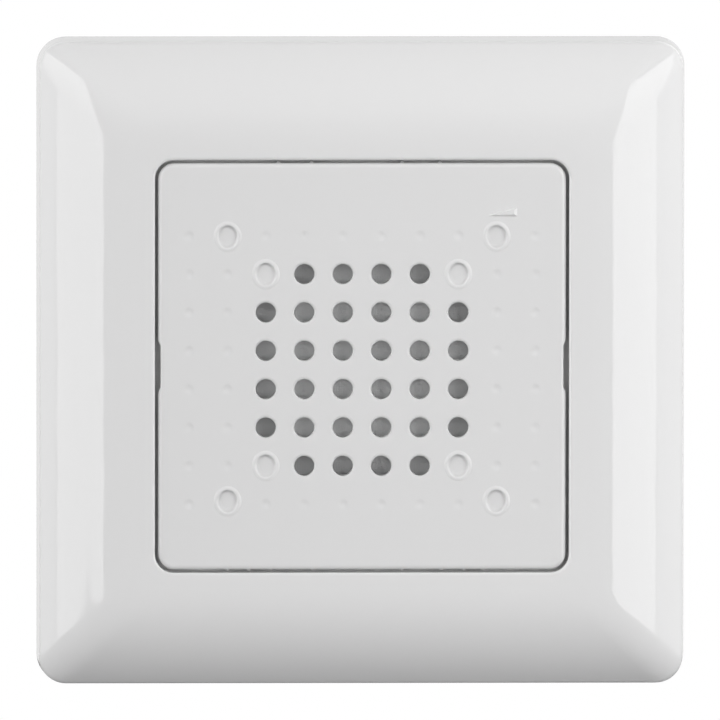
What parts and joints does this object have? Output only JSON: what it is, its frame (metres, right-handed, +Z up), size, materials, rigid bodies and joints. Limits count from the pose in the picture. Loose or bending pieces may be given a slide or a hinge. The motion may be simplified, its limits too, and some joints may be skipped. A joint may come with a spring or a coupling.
{
  "type": "flush wall door chime",
  "caption": "Flush wall door chime: domed square white frame, perforated centre cover, steel support ring, speaker, board and screw terminals in a round wall-box insert.",
  "frame": {"origin": "centre of the support ring's rear face, on the face of the wall", "axes": "+Z up the wall, -Y out of the wall into the room, +X to the right seen from the room"},
  "size_m": [0.08, 0.0375, 0.08],
  "materials": {
    "white_gloss_plastic": "polished white moulding",
    "grey_moulding": "satin light grey moulding",
    "black_moulding": "fine spark-eroded texture",
    "zinc_steel": "zinc plated sheet, satin",
    "plated_fastener": "zinc plated, bright",
    "brass_nut": "turned",
    "spring_steel": "rolled strip",
    "speaker_steel": "black passivated pressing",
    "ferrite": "ground ferrite",
    "cone_paper": "pulp, dyed",
    "copper_wire": "enamelled copper wire",
    "soft_cloth": "doped cloth",
    "pale_cloth": "non-woven acoustic cloth",
    "gasket_foam": "closed-cell foam",
    "fibre_board": "phenolic paper board",
    "wire_sleeve": "soft sleeve",
    "trimmer_blue": "moulded",
    "rotor_white": "moulded",
    "board_laminate": "solder-resist lacquer",
    "component_black": "moulded epoxy",
    "resistor_lacquer": "lacquer",
    "terminal_green": "moulded"
  },
  "bodies": {
    "insert": {"support_ring": "zinc_steel", "insert_carrier": "grey_moulding", "clamp_screws": "plated_fastener", "cover_springs": "spring_steel", "rear_housing": "black_moulding", "speaker_basket": "speaker_steel", "pole_plate": "speaker_steel", "speaker_magnet": "ferrite", "speaker_yoke": "speaker_steel", "speaker_gasket": "gasket_foam", "speaker_tag_board": "fibre_board", "speaker_leads": "wire_sleeve", "volume_trimmer": "trimmer_blue", "volume_leads": "wire_sleeve", "circuit_board": "board_laminate", "board_screws": "plated_fastener", "capacitors": "component_black", "melody_chip": "component_black", "amplifier_chip": "component_black", "bridge_rectifier": "component_black", "resistors": "resistor_lacquer", "terminal_block": "terminal_green", "terminal_cages": "brass_nut", "terminal_screws": "plated_fastener", "claw_pins": "plated_fastener"},
    "frame": {"frame": "white_gloss_plastic"},
    "cover": {"centre_cover": "white_gloss_plastic", "dust_cloth": "pale_cloth"},
    "cone": {"speaker_cone": "cone_paper", "dust_cap": "cone_paper", "coil_former": "cone_paper", "coil_winding": "copper_wire", "cone_surround": "soft_cloth", "speaker_spider": "soft_cloth"},
    "rotor": {"volume_rotor": "rotor_white"},
    "claw_right": {"claw_right": "zinc_steel"},
    "claw_nut_right": {"claw_nut_right": "brass_nut"},
    "claw_screw_right": {"claw_screw_right": "plated_fastener"},
    "claw_left": {"claw_left": "zinc_steel"},
    "claw_nut_left": {"claw_nut_left": "brass_nut"},
    "claw_screw_left": {"claw_screw_left": "plated_fastener"}
  },
  "joints": [
    {"name": "frame_off", "type": "slide", "parent": "insert", "child": "frame", "axis": [0, -1, 0], "range_m": [0, 0.03]},
    {"name": "cover_off", "type": "slide", "parent": "frame", "child": "cover", "axis": [0, -1, 0], "range_m": [0, 0.03], "deforming": ["cover_springs"]},
    {"name": "cone_stroke", "type": "slide", "parent": "insert", "child": "cone", "axis": [0, -1, 0], "range_m": [-0.0005, 0.0005], "stiffness_N_per_m": 1500, "deforming": ["cone_surround", "speaker_spider"]},
    {"name": "volume_turn", "type": "hinge", "parent": "insert", "child": "rotor", "pos_m": [0.01655, -0.004, 0.01605], "axis": [0, -1, 0], "range_deg": [-135, 135]},
    {"name": "claw_nut_right_travel", "type": "slide", "parent": "insert", "child": "claw_nut_right", "axis": [0, -1, 0], "range_m": [0, 0.00128]},
    {"name": "claw_screw_right_turn", "type": "hinge", "parent": "insert", "child": "claw_screw_right", "pos_m": [0.0245, 0, 0], "axis": [0, 1, 0], "range_deg": [0, 765.71]},
    {"name": "claw_right_spread", "type": "hinge", "parent": "insert", "child": "claw_right", "pos_m": [0.0205, 0.005, 0], "axis": [0, 0, -1], "range_deg": [0, 20]},
    {"name": "claw_nut_left_travel", "type": "slide", "parent": "insert", "child": "claw_nut_left", "axis": [0, -1, 0], "range_m": [0, 0.00128]},
    {"name": "claw_screw_left_turn", "type": "hinge", "parent": "insert", "child": "claw_screw_left", "pos_m": [-0.0245, 0, 0], "axis": [0, 1, 0], "range_deg": [0, 765.71]},
    {"name": "claw_left_spread", "type": "hinge", "parent": "insert", "child": "claw_left", "pos_m": [-0.0205, 0.005, 0], "axis": [0, 0, 1], "range_deg": [0, 20]}
  ],
  "couplings": [
    {"joint": "claw_screw_right_turn", "follows": "claw_nut_right_travel", "rad_per_m": 10472},
    {"joint": "claw_right_spread", "follows": "claw_nut_right_travel", "rad_per_m": 273.5},
    {"joint": "claw_screw_left_turn", "follows": "claw_nut_left_travel", "rad_per_m": 10472},
    {"joint": "claw_left_spread", "follows": "claw_nut_left_travel", "rad_per_m": 273.5}
  ]
}
